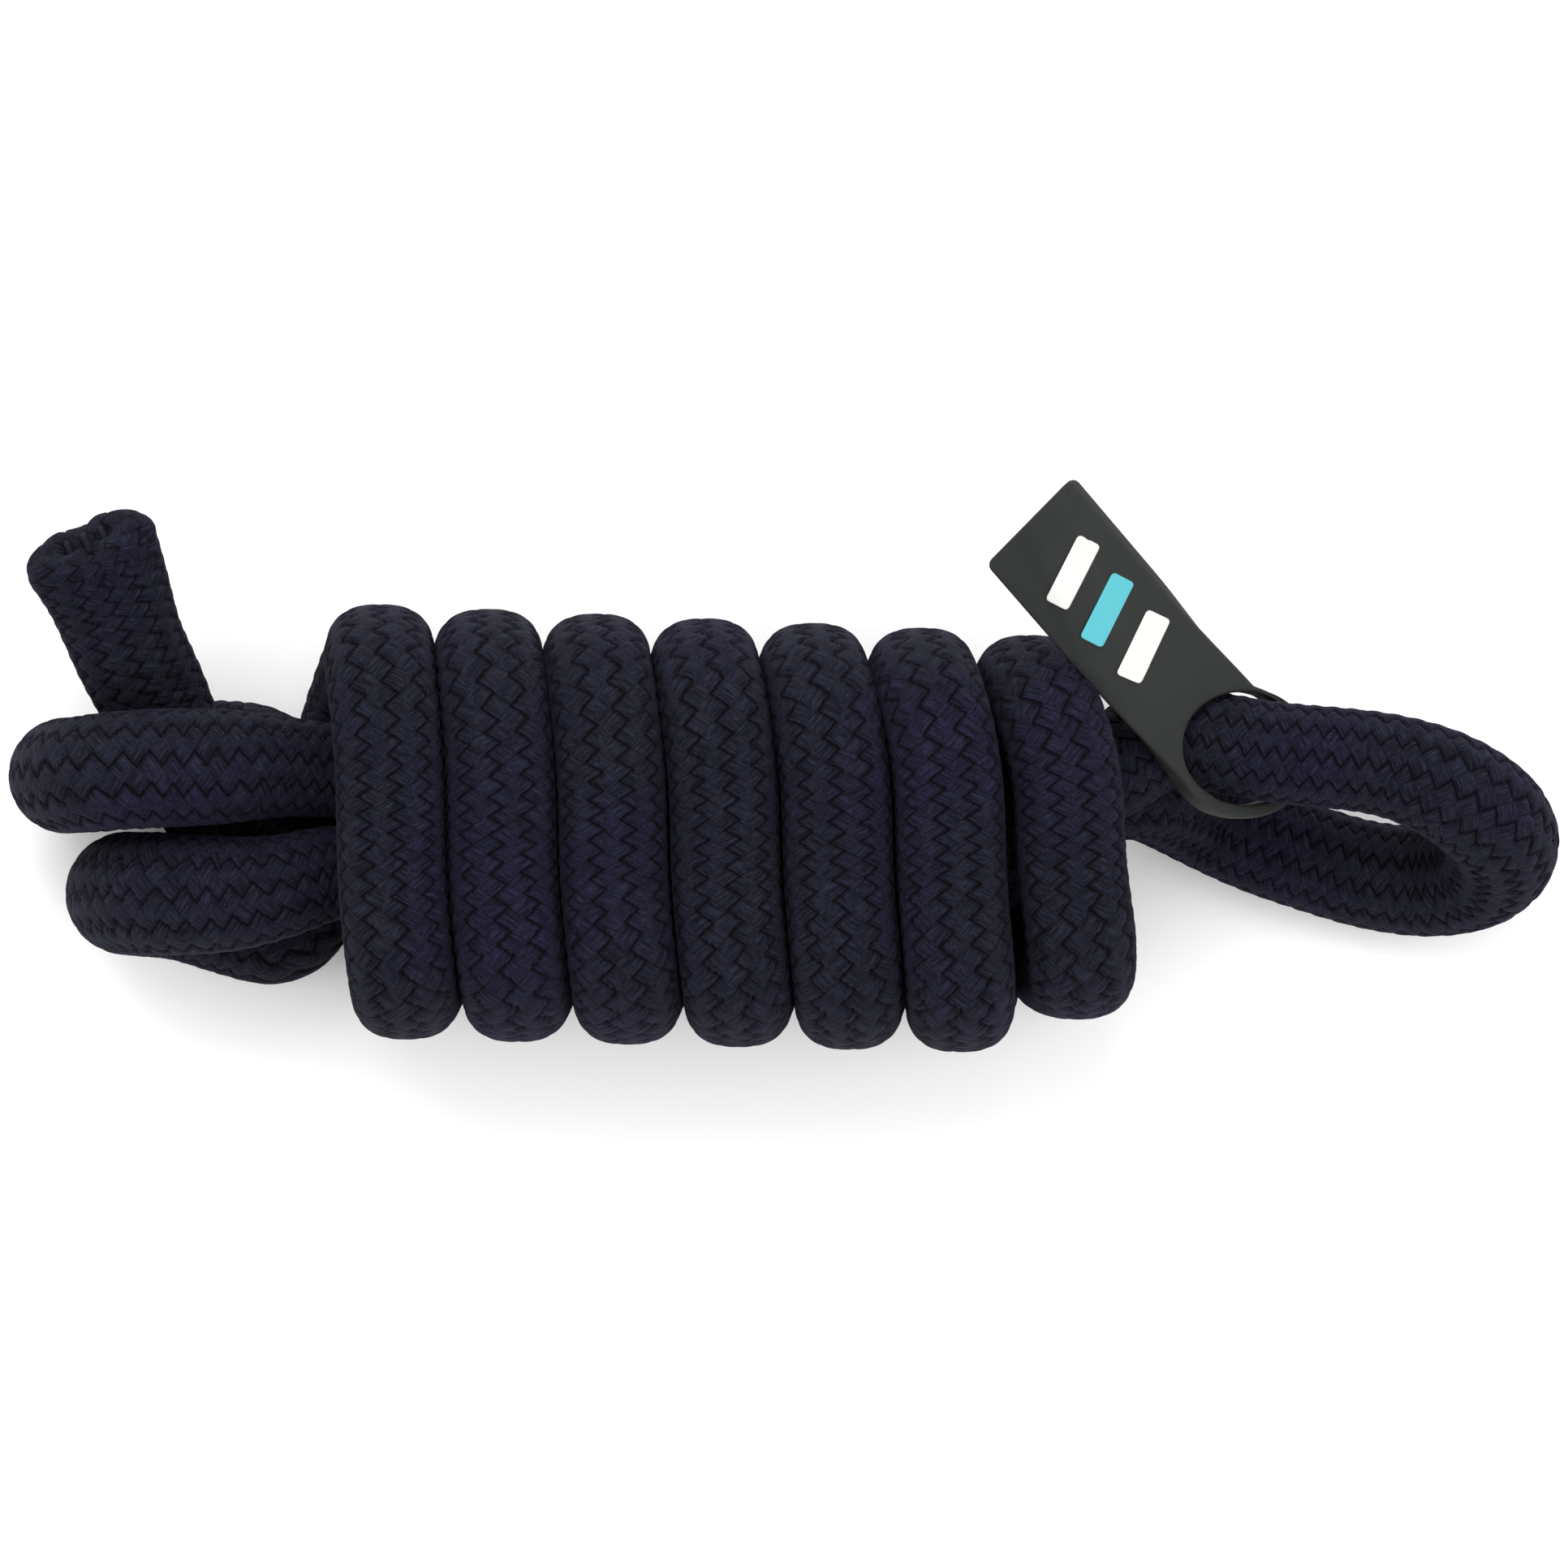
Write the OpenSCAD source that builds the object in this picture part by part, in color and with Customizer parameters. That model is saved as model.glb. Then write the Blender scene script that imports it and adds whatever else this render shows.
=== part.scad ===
// Lead rope wound into a hank: a braided sleeve over a soft core, folded three times,
// bound with seven turns of its own length, with a soft tag threaded on the end loop.
// The hank lies on z = 0, runs along x and shows its front side to +z.

/* [Rope] */
// Diameter of the rope where nothing squeezes it
rope_d = 16; // [15:0.25:16]
// Diameter of the strands squeezed together inside the turns
inner_d = 13; // [12:0.25:13]
// Diameter of the straight stretch that the tag slides on
guide_d = 15; // [14:0.25:15]
// Wall thickness of the braided sleeve
sleeve_t = 1.8; // [1:0.1:2.4]
// Gap between the sleeve and the core
core_gap = 0.15; // [0.1:0.05:0.3]
// How far each length of core stops short of its sleeve's ends
core_short = 4; // [3:0.5:5]
// Sides of the rope's cross-section
sides = 8; // [8:2:12]

/* [Turns] */
// Number of turns bound round the hank
turns = 7; // [7:1:7]
// Distance from one turn to the next, along the hank
turn_pitch = 15.2; // [15:0.1:15.4]
// Shift along the hank from a turn's top to its bottom on the front
turn_lean = 4.2; // [3:0.2:5]
// Width of a turn's rope, along the hank
turn_w = 14.2; // [13:0.2:14.4]
// Thickness of a turn's rope, across the hank
turn_t = 15.6; // [15:0.2:16]
// Rings of points in one turn
turn_rings = 16; // [12:2:18]

/* [Tag] */
// Width of the tag's plate
tag_w = 17; // [14:0.2:18]
// How far the plate's middle lies to one side of the ring's centre
tag_shift = 0.5; // [0:0.1:1]
// Distance from the ring's centre to the far edge of the plate
tag_l = 43; // [38:1:46]
// Thickness of the tag
tag_t = 3.2; // [2.5:0.1:3.6]
// Clearance between the rope and the ring's bore, on the radius
tag_gap = 0.45; // [0.35:0.05:0.6]
// Width of the ring's wall
ring_wall = 1.9; // [1.6:0.1:2.6]
// Height of the raised inlays
inlay_h = 0.5; // [0.3:0.1:0.8]

/* [Hidden] */

navy = "#17173a";
core_white = "#d9d4c6";
tag_black = "#2b2c2c";
$fn = 64;

// --- Route of the rope, from the free end to the first turn ---------------------------------
// Each point is [x, y, z, diameter].
free_end_route = [
    [-98, 33, 40, rope_d], [-95, 26, 37, rope_d], [-91, 17, 32.6, rope_d],
    [-86.6, 9.5, 28.2, 15], [-84, 1.4, 26.5, 14], [-80.4, -5.8, 26.5, inner_d],
    [-76, -11.5, 24, inner_d], [-70, -14.4, 23, inner_d], [-62, -14.6, 22.6, inner_d]
];
lower_run_route = [
    [-62, -14.6, 22.6, inner_d], [-22, -15.6, 22.6, inner_d], [20, -16.8, 22.6, inner_d]
];
end_loop_route = [
    [20, -16.8, 22.6, inner_d], [28, -14, 22.4, inner_d], [35, -8.5, 22.2, inner_d],
    [43, -4.5, 22, inner_d], [49, -3, 18.6, 14.4], [54, -4.2, 12.6, 15.4],
    [59, -6.6, 8.9, 15.6], [66, -9.9, 8.2, rope_d], [74, -13, 8.2, rope_d],
    [82, -15.2, 8.2, rope_d], [90, -15.9, 8.6, rope_d], [96.6, -14.4, 12.4, rope_d],
    [99.2, -11, 19, rope_d], [97.4, -7, 26, rope_d], [92, -2.8, 30.3, rope_d],
    [84, 0, 31, guide_d], [52, 4, 31, guide_d], [48, 1.8, 33.2, 14.4],
    [43, -1.8, 35.6, inner_d], [35, -3, 35.8, inner_d], [28, -3, 29.6, inner_d],
    [20, -2.6, 22.6, inner_d]
];
upper_run_route = [
    [20, -2.6, 22.6, inner_d], [-22, -1.6, 22.6, inner_d], [-62, -0.6, 22.6, inner_d]
];
upper_fold_route = [
    [-62, -0.6, 22.6, inner_d], [-69.6, 0.4, 21.6, inner_d], [-74, 2.3, 15.9, inner_d],
    [-79.4, 2.3, 10.9, 14], [-86, 1.2, 8.2, rope_d], [-93, -0.8, 9.8, rope_d],
    [-98.4, -1.2, 15.6, rope_d],
    [-99.8, -1.2, 25, rope_d], [-98.4, -1.2, 35, rope_d], [-93, -1, 41, rope_d],
    [-85, -0.8, 42.4, rope_d], [-77, -0.4, 41.6, 15.4], [-70, 0, 39.4, 14],
    [-62, -0.6, 36.8, inner_d]
];
inner_fold_route = [
    [-62, -0.6, 36.8, inner_d], [-25, -1.8, 36.8, inner_d], [8, -2.6, 36.8, inner_d],
    [13, -4, 36.8, inner_d], [15.8, -7.2, 36.8, inner_d], [16.2, -11.6, 36.8, inner_d],
    [13, -15.4, 36.8, inner_d], [8, -16.6, 36.8, inner_d], [-25, -15.6, 36.8, inner_d],
    [-62, -14.6, 36.8, inner_d]
];
lower_fold_route = [
    [-62, -14.6, 36.8, inner_d], [-70, -16.6, 38.8, 14], [-77, -17.8, 38.4, 15.2],
    [-84, -18, 35.8, rope_d], [-89.6, -18.2, 28.4, rope_d], [-91.6, -18.2, 20.6, rope_d],
    [-89.6, -18.4, 12.6, rope_d], [-84, -19, 8.6, rope_d], [-76, -21.4, 8.2, rope_d],
    [-70, -22.4, 8.2, rope_d], [-64.8, -18.4, 8.2, 14.4]
];

// --- Turns, computed ------------------------------------------------------------------------
turn_start = -15;
last_turn_end = 290;
tail_end = 322;
turn_squareness = 4;

function top_x(k) = -56.2 + turn_pitch * (k - 1) - 0.2 * (k - 1);
function bottom_x(k) = top_x(k) + turn_lean * (0.8 + 0.08 * k) + (k == turns ? 1.4 : 0);
function last(k) = k > turns - 1 ? 1 : 0;
function turn_y(k) = last(k) ? -8.4 : -7.5 - 0.5 * k;
function turn_half_y(k) = last(k) ? 18.9 : 21.9;
function turn_z(k) = last(k) ? 28.6 : 30;
function turn_half_z(k) = last(k) ? 20.8 : 22.2;

function mix(a, b, f) = a + (b - a) * f;
function ease(f) = (1 - cos(180 * f)) / 2;
function power(v) = sign(v) * pow(abs(v), 2 / turn_squareness);

function turn_x(k, a) =
    a < 90 ? mix(bottom_x(k - 1), top_x(k), ease((a + 90) / 180))
    : a < 270 ? mix(top_x(k), bottom_x(k), ease((a - 90) / 180))
    : k == turns ? bottom_x(k)
    : mix(bottom_x(k), top_x(k + 1), ease((a - 270) / 180));

function turn_mix(k, a, first, second, third) =
    a < 90 ? mix(first, second, ease((a + 90) / 180))
    : a < 270 ? second
    : mix(second, third, ease((a - 270) / 180));

function turn_point(k, a) = [
    turn_x(k, a),
    turn_mix(k, a, turn_y(k - 1), turn_y(k), turn_y(min(k + 1, turns)))
        + turn_mix(k, a, turn_half_y(k - 1), turn_half_y(k), turn_half_y(min(k + 1, turns)))
        * power(sin(a)),
    turn_mix(k, a, turn_z(k - 1), turn_z(k), turn_z(min(k + 1, turns)))
        - turn_mix(k, a, turn_half_z(k - 1), turn_half_z(k), turn_half_z(min(k + 1, turns)))
        * power(cos(a))
];

function turn_route(k, from, to) =
    let (steps = ceil(turn_rings * (to - from) / 360))
    [for (i = [0:steps]) turn_point(k, from + (to - from) * i / steps)];

// --- Swept tubes ----------------------------------------------------------------------------
function unit(v) = v / norm(v);
function place(route) = [for (p = route) [p[0], p[1], p[2]]];
function diameters(route, d) = [for (p = route) len(p) > 3 ? p[3] : d];
function step(path, i) = unit(path[i + 1] - path[i]);
// The way a path runs at point i, halfway between the steps before and after it
function heading(path, i) =
    i == 0 ? step(path, 0)
    : i == len(path) - 1 ? step(path, i - 1)
    : unit(step(path, i - 1) + step(path, i));
function square_to(v, t) = unit(v - (v * t) * t);
function carried(path, v, i = 0) =
    i >= len(path) ? [] : let (u = square_to(v, heading(path, i))) concat([u], carried(path, u, i + 1));

// Rings of points round a path; wide and thick are the full sizes of the section at each ring
function rings(path, side_on, wide, thick) =
    let (across = carried(path, side_on))
    [for (i = [0:len(path) - 1])
        let (u = across[i], v = cross(heading(path, i), u))
        for (j = [0:sides - 1])
            path[i] + wide[i] / 2 * cos(360 * j / sides) * u + thick[i] / 2 * sin(360 * j / sides) * v];

function band(first, n, flip) =
    [for (i = [0:n - 2], j = [0:sides - 1])
        let (a = first + i * sides + j, b = first + i * sides + (j + 1) % sides)
        for (f = flip ? [[a, b + sides, a + sides], [a, b, b + sides]]
                      : [[a, a + sides, b + sides], [a, b + sides, b]]) f];

function rim(outer, inner, flip) =
    [for (j = [0:sides - 1])
        let (k = (j + 1) % sides)
        flip ? [outer + j, inner + j, inner + k, outer + k] : [outer + j, outer + k, inner + k, inner + j]];

// A solid tube: the core
module rod(path, side_on, wide, thick) {
    n = len(path);
    polyhedron(
        points = rings(path, side_on, wide, thick),
        faces = concat(
            band(0, n, false),
            [[for (j = [0:sides - 1]) j]],
            [[for (j = [sides - 1:-1:0]) (n - 1) * sides + j]]
        )
    );
}

// A hollow tube: the braided sleeve
module hose(path, side_on, wide, thick, wall) {
    n = len(path);
    less = [for (w = wide) w - 2 * wall];
    thin = [for (t = thick) t - 2 * wall];
    polyhedron(
        points = concat(rings(path, side_on, wide, thick), rings(path, side_on, less, thin)),
        faces = concat(
            band(0, n, false),
            band(n * sides, n, true),
            rim(0, n * sides, false),
            rim((n - 1) * sides, (2 * n - 1) * sides, true)
        )
    );
}

core_less = 2 * (sleeve_t + core_gap);
// A path drawn in from both its ends
function drawn_in(path, by) =
    let (n = len(path) - 1)
    [for (i = [0:n])
        i == 0 ? path[0] + by * unit(path[1] - path[0])
        : i == n ? path[n] + by * unit(path[n - 1] - path[n])
        : path[i]];

module run_sleeve(route) {
    d = diameters(route, rope_d);
    hose(place(route), [0, 0, 1], d, d, sleeve_t);
}
module run_core(route) {
    d = [for (x = diameters(route, rope_d)) x - core_less];
    rod(drawn_in(place(route), core_short), [0, 0, 1], d, d);
}
function same(path, v) = [for (p = path) v];
module turn_sleeve(path) {
    hose(path, [1, 0, 0], same(path, turn_w), same(path, turn_t), sleeve_t);
}
module turn_core(path) {
    wide = same(path, turn_w - core_less);
    thick = same(path, turn_t - core_less);
    rod(drawn_in(path, core_short), [1, 0, 0], wide, thick);
}

function turn_end(k) = k == turns ? last_turn_end : 360 + turn_start;
function turn_path(k) = turn_route(k, turn_start, turn_end(k));
tail_path = turn_route(turns, last_turn_end, tail_end);

// --- Sub-parts ------------------------------------------------------------------------------
module sleeve_free_end() { color(navy) run_sleeve(free_end_route); }
module sleeve_lower_run() { color(navy) run_sleeve(lower_run_route); }
module sleeve_end_loop() { color(navy) run_sleeve(end_loop_route); }
module sleeve_upper_run() { color(navy) run_sleeve(upper_run_route); }
module sleeve_upper_fold() { color(navy) run_sleeve(upper_fold_route); }
module sleeve_inner_fold() { color(navy) run_sleeve(inner_fold_route); }
module sleeve_lower_fold() { color(navy) run_sleeve(lower_fold_route); }
module sleeve_turn(k) { color(navy) turn_sleeve(turn_path(k)); }
module sleeve_tail() { color(navy) turn_sleeve(tail_path); }

module core_runs() {
    color(core_white)
    for (route = [free_end_route, lower_run_route, end_loop_route, upper_run_route,
                  upper_fold_route, inner_fold_route, lower_fold_route])
        run_core(route);
}
// The tail is empty: the filling ends in the last turn, and the sleeve is tucked in after it
module core_turns() {
    color(core_white)
    for (k = [1:turns]) turn_core(turn_path(k));
}

// A tucked end: the sleeve turned in on itself, closing the tube; out is the way the end faces
tuck_l = 2.4;
module end_tuck(at, out, wide, thick) {
    path = [for (s = [0.02, 0.6, 1]) at + s * tuck_l * out];
    share = [1, 0.94, 0.72];
    rod(path, [0, 0, 1], wide * share, thick * share);
}
// Two bars of thread across the closed end
stitch_d = 1.1;
stitch_l = 5;
stitch_apart = 5.2;
module end_stitches(at, out, across) {
    for (s = [-1, 1])
        translate(at + (tuck_l + stitch_d / 2 + 0.05) * out + s * stitch_apart / 2 * across)
            rotate([0, acos(cross(out, across)[2]), atan2(cross(out, across)[1], cross(out, across)[0])])
                cylinder(h = stitch_l, d = stitch_d, center = true, $fn = 24);
}

free_tip = place(free_end_route)[0];
free_out = unit(free_tip - place(free_end_route)[1]);
free_across = unit(cross(free_out, [0, 0, 1]));
tail_tip = tail_path[len(tail_path) - 1];
tail_out = unit(tail_tip - tail_path[len(tail_path) - 2]);
tail_across = square_to([1, 0, 0], tail_out);

module free_end_tuck() { color(navy) end_tuck(free_tip, free_out, rope_d, rope_d); }
module free_end_stitches() { color(navy) end_stitches(free_tip, free_out, free_across); }
module tail_end_tuck() { color(navy) end_tuck(tail_tip, tail_out, turn_w, turn_w); }
module tail_end_stitches() { color(navy) end_stitches(tail_tip, tail_out, tail_across); }

// --- Tag ------------------------------------------------------------------------------------
// The tag is a bent sheet: a ring that leans across the rope, and a plate that rises to the far edge.
guide_from = [52, 4, 31];
guide_to = [84, 0, 31];
guide_way = unit(guide_to - guide_from);
ring_along = 11;
ring_at = guide_from + ring_along * guide_way;
tag_turn = 133;
ring_lean = 45;
plate_tilt = 24;
plate_at = [54, -2, 41];
bore_r = guide_d / 2 + tag_gap;
ring_r = bore_r + ring_wall;
far = 200;

module below(at, tilt, raise) {
    translate(at) rotate(tilt) translate([-far / 2, -far / 2, raise - far]) cube([far, far, far]);
}
// All that lies under both of the sheet's planes
module under_sheet(raise) {
    intersection() {
        below(ring_at, [0, ring_lean, 0], raise);
        below(plate_at, [plate_tilt, 0, 0], raise);
    }
}
module sheet(low, high) {
    intersection() {
        translate([ring_at[0], ring_at[1], 0]) linear_extrude(far / 2) children();
        difference() {
            under_sheet(high);
            under_sheet(low);
        }
    }
}
module bore() {
    translate(ring_at) rotate([0, 90, atan2(guide_way[1], guide_way[0])])
        cylinder(h = 60, r = bore_r, center = true);
}
module tag_outline() {
    circle(ring_r);
    rotate(tag_turn) translate([2, tag_shift - tag_w / 2]) square([tag_l - 2, tag_w]);
}
// One slanted bar of the tag's pattern, u along the plate
bar_w = 3.4;
bar_l = 10;
bar_slant = 20;
module bar(u) {
    rotate(tag_turn) translate([u, 0]) rotate(bar_slant) square([bar_w, bar_l], center = true);
}
white_bars = [19.5, 33.5];
turquoise_bar = 26.5;

module tag_body() {
    color(tag_black)
    difference() {
        sheet(-tag_t / 2, tag_t / 2) tag_outline();
        bore();
    }
}
module tag_white_inlays() {
    color("white")
    for (u = white_bars) sheet(tag_t / 2, tag_t / 2 + inlay_h) bar(u);
}
module tag_turquoise_inlay() {
    color("#4fc1cf") sheet(tag_t / 2, tag_t / 2 + inlay_h) bar(turquoise_bar);
}

sleeve_free_end();
sleeve_lower_run();
sleeve_end_loop();
sleeve_upper_run();
sleeve_upper_fold();
sleeve_inner_fold();
sleeve_lower_fold();
sleeve_turn(1);  // sleeve_turn_1
sleeve_turn(2);  // sleeve_turn_2
sleeve_turn(3);  // sleeve_turn_3
sleeve_turn(4);  // sleeve_turn_4
sleeve_turn(5);  // sleeve_turn_5
sleeve_turn(6);  // sleeve_turn_6
sleeve_turn(7);  // sleeve_turn_7
sleeve_tail();
core_runs();
core_turns();
free_end_tuck();
free_end_stitches();
tail_end_tuck();
tail_end_stitches();
tag_body();
tag_white_inlays();
tag_turquoise_inlay();
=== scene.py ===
import math

import bpy
import numpy as np
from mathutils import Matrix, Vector
from mathutils.geometry import delaunay_2d_cdt


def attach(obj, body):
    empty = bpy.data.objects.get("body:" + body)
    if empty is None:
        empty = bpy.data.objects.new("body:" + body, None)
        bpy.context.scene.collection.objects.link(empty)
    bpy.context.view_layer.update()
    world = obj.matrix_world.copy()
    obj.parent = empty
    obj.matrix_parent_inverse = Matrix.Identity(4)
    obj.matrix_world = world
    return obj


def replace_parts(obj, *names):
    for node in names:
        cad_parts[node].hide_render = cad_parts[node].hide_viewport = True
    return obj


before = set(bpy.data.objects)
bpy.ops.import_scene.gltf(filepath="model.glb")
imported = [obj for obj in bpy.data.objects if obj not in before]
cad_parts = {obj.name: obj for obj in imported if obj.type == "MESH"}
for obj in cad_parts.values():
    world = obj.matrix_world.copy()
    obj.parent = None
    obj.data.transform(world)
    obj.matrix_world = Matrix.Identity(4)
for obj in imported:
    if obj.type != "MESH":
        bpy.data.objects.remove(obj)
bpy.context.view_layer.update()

MM = 0.001

# --- Camera ---------------------------------------------------------------------------------
# Straight down on the hank, from far enough away to look almost parallel.
CAM_UP = 4.0
VIEW_W = 0.2174
SENSOR_MM = 36.0
LOOK_AT = (-0.0002, -0.0024, 0.030)
cam_data = bpy.data.cameras.new("camera")
cam_data.sensor_width = SENSOR_MM
cam_data.lens = SENSOR_MM * CAM_UP / VIEW_W
cam_data.clip_end = 20.0
cam = bpy.data.objects.new("camera", cam_data)
cam.location = (LOOK_AT[0], LOOK_AT[1], LOOK_AT[2] + CAM_UP)
bpy.context.scene.collection.objects.link(cam)
bpy.context.scene.camera = cam

# --- Route of the rope: points given as [x, y, z, diameter] in mm -----------------------------
# They repeat the part's route, with some points moved a few mm towards the photo.
FREE_END = [
    [-96, 29.6, 41.2, 16], [-94, 25, 37.4, 16], [-91.2, 17, 32.8, 16], [-87.6, 9.5, 28.4, 15.4],
    [-84, 1.4, 26.5, 14], [-80.4, -5.8, 26.5, 13], [-76, -10.8, 24, 13.4],
    [-70, -13.6, 23, 13.6], [-62, -14.6, 22.6, 13],
]
LOWER_RUN = [[-22, -15.6, 22.6, 13], [20, -16.8, 22.6, 13]]
END_LOOP = [
    [28, -14, 22.4, 13], [35, -8.5, 22.2, 13], [43, -4.5, 22, 13], [49, -3, 18.6, 14.4],
    [54, -4.2, 12.6, 15.4], [59, -6.6, 8.9, 15.6], [66, -9.9, 8.2, 15.4], [74, -13, 8.2, 14.8],
    [82, -15.2, 8.2, 15], [90, -15.9, 8.6, 15.6], [96.8, -14.4, 12.4, 16], [99.6, -11, 19, 16],
    [97.8, -7, 26, 16], [92, -2.8, 30.3, 15.4], [84, 0.1, 31, 14.4], [68, 2, 31, 14],
    [52, 4, 31, 14], [48, 1.8, 33.2, 14.4], [43, -1.8, 35.6, 13], [35, -3, 35.8, 13],
    [28, -3, 29.6, 13],
]
UPPER_RUN = [[20, -2.6, 22.6, 13], [-22, -1.6, 22.6, 13], [-62, -0.6, 22.6, 13]]
UPPER_FOLD = [
    [-69.6, 0.4, 21.6, 13], [-74, 2.3, 15.9, 13], [-79.4, 2.3, 10.9, 14],
    [-86, 1.2, 8.2, 16], [-93, -0.8, 9.8, 16], [-98.4, -1.2, 15.6, 16],
    [-99.8, -1.2, 25, 16], [-98.4, -1.2, 35, 16], [-93, -0.6, 41, 16.4], [-85, -0.2, 42.4, 16.4],
    [-77, 0, 41.6, 15.8], [-70, 0, 39.4, 14], [-62, -0.6, 36.8, 13],
]
INNER_FOLD = [
    [-25, -1.8, 36.8, 13], [8, -2.6, 36.8, 13], [13, -4, 36.8, 13], [15.8, -7.2, 36.8, 13],
    [16.2, -11.6, 36.8, 13], [13, -15.4, 36.8, 13], [8, -16.6, 36.8, 13],
    [-25, -15.6, 36.8, 13], [-62, -14.6, 36.8, 13],
]
LOWER_FOLD = [
    [-70, -16.6, 38.8, 14.4], [-77, -17.6, 38.4, 16], [-84, -17.6, 35.8, 17],
    [-89.8, -17.6, 28.4, 17], [-91.6, -17.6, 20.6, 17], [-89.6, -18.2, 12.6, 16.4],
    [-84, -19, 8.6, 16], [-76, -21.4, 8.2, 16], [-70, -22.4, 8.2, 16],
]
ROUTE_STEP = 0.5
ROUTE_SMOOTH = 3.0

# --- The coil of turns: x along the hank, angles in degrees from the turn's lowest point -------
TURNS = 7
FIRST_X = -56.2
PITCH = 15.2
CLOSER = 0.2
LEAN = 4.2
LAST_LEAN = 1.4
TURN_W = 15.2
TURN_T = 15.6
TURN_OVAL = np.array([-7.15, 22.45, 30.0, 22.2])
OVAL_STEP = np.array([0.5, 0.15, 0.0, 0.0])
LAST_OVAL = np.array([-8.4, 18.8, 28.3, 20.3])
BOW = 1.9
TUCK = 4.0
TUCK_FROM = 250
LAST_ANGLE = 322.0
ANGLE_STEP = 8


def top_x(k):
    """Where turn k crosses the top of the hank."""
    return FIRST_X + PITCH * (k - 1) - CLOSER * (k - 1)


def bottom_x(k):
    """Where turn k comes down; later turns lean more, and the last one most."""
    return top_x(k) + LEAN * (0.8 + 0.08 * k) + (LAST_LEAN if k == TURNS else 0.0)


def oval(k):
    """Centre and half size of turn k, y then z."""
    if k >= TURNS:
        return LAST_OVAL
    return TURN_OVAL - OVAL_STEP * k


def ease(f):
    """From 0 to 1 with a soft start and a soft stop."""
    return (1 - math.cos(math.pi * f)) / 2


def boxed(v):
    """A sine or cosine changed so that the circle becomes a box with round corners."""
    return math.copysign(abs(v) ** 0.5, v)


def turn_point(k, a):
    """The rope's middle on turn k at angle a, with its diameter."""
    o0, o1 = oval(k), oval(k)
    if a < 90:
        f, x0, x1 = ease((a + 90) / 180), bottom_x(k - 1), top_x(k)
        o0 = oval(k - 1)
    elif a < 270:
        f, x0, x1 = ease((a - 90) / 180), top_x(k), bottom_x(k)
    elif k == TURNS:
        f, x0, x1 = 0.0, bottom_x(k), bottom_x(k)
    else:
        f, x0, x1 = ease((a - 270) / 180), bottom_x(k), top_x(k + 1)
        o1 = oval(k + 1)
    # the later turns bow out on top, and the last one tucks in behind
    bow = BOW * ((k - 1) / (TURNS - 1)) ** 2 * max(0.0, -math.cos(math.radians(a))) ** 2
    tuck = 0.0
    if k == TURNS and a > TUCK_FROM:
        tuck = TUCK * ease((a - TUCK_FROM) / (LAST_ANGLE - TUCK_FROM))
    x = x0 + (x1 - x0) * f + bow - tuck
    y, hy, z, hz = o0 + (o1 - o0) * f
    r = math.radians(a)
    return [x, y + hy * boxed(math.sin(r)), z - hz * boxed(math.cos(r)), TURN_W]


def spline(points, step):
    """A smooth line through the points, with its diameters, at an even step."""
    p = np.array(points, float)
    pad = np.vstack([2 * p[0] - p[1], p, 2 * p[-1] - p[-2]])
    knots = np.concatenate(
        [[0], np.cumsum(np.linalg.norm(np.diff(pad[:, :3], axis=0), axis=1) ** 0.5)]
    )
    out = []
    for i in range(1, len(pad) - 2):
        t0, t1, t2, t3 = knots[i - 1 : i + 3]
        n = max(2, int(np.linalg.norm(pad[i + 1, :3] - pad[i, :3]) / step))
        t = np.linspace(t1, t2, n, endpoint=False)[:, None]
        a1 = (t1 - t) / (t1 - t0) * pad[i - 1] + (t - t0) / (t1 - t0) * pad[i]
        a2 = (t2 - t) / (t2 - t1) * pad[i] + (t - t1) / (t2 - t1) * pad[i + 1]
        a3 = (t3 - t) / (t3 - t2) * pad[i + 1] + (t - t2) / (t3 - t2) * pad[i + 2]
        b1 = (t2 - t) / (t2 - t0) * a1 + (t - t0) / (t2 - t0) * a2
        b2 = (t3 - t) / (t3 - t1) * a2 + (t - t1) / (t3 - t1) * a3
        out.append((t2 - t) / (t2 - t1) * b1 + (t - t1) / (t2 - t1) * b2)
    out.append(pad[-2:-1])
    return np.vstack(out)


def resample(p, at):
    """The line's points at the given distances along it."""
    s = np.concatenate([[0], np.cumsum(np.linalg.norm(np.diff(p[:, :3], axis=0), axis=1))])
    return np.stack([np.interp(at, s, p[:, c]) for c in range(p.shape[1])], axis=1)


def length_of(p):
    return float(np.linalg.norm(np.diff(p[:, :3], axis=0), axis=1).sum())


def softened(p, width):
    """The line with its small kinks smoothed, its two ends kept where they are."""
    n = int(3 * width)
    w = np.exp(-0.5 * (np.arange(-n, n + 1) / width) ** 2)
    w /= w.sum()
    padded = np.vstack([2 * p[0] - p[n:0:-1], p, 2 * p[-1] - p[-2 : -n - 2 : -1]])
    return np.stack([np.convolve(padded[:, c], w, "valid") for c in range(p.shape[1])], axis=1)


runs = FREE_END + LOWER_RUN + END_LOOP + UPPER_RUN + UPPER_FOLD + INNER_FOLD + LOWER_FOLD
turn_points = [
    turn_point(k, a) for k in range(1, TURNS + 1) for a in range(0, 360, ANGLE_STEP)
    if k < TURNS or a <= LAST_ANGLE
]
rough = spline(runs + turn_points, ROUTE_STEP)
rough = resample(rough, np.arange(0, length_of(rough), ROUTE_STEP))
rough = softened(rough, ROUTE_SMOOTH)
runs_end = int(np.argmin(np.linalg.norm(rough[:, :3] - np.array(LOWER_FOLD[-1][:3]), axis=1)))

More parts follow.
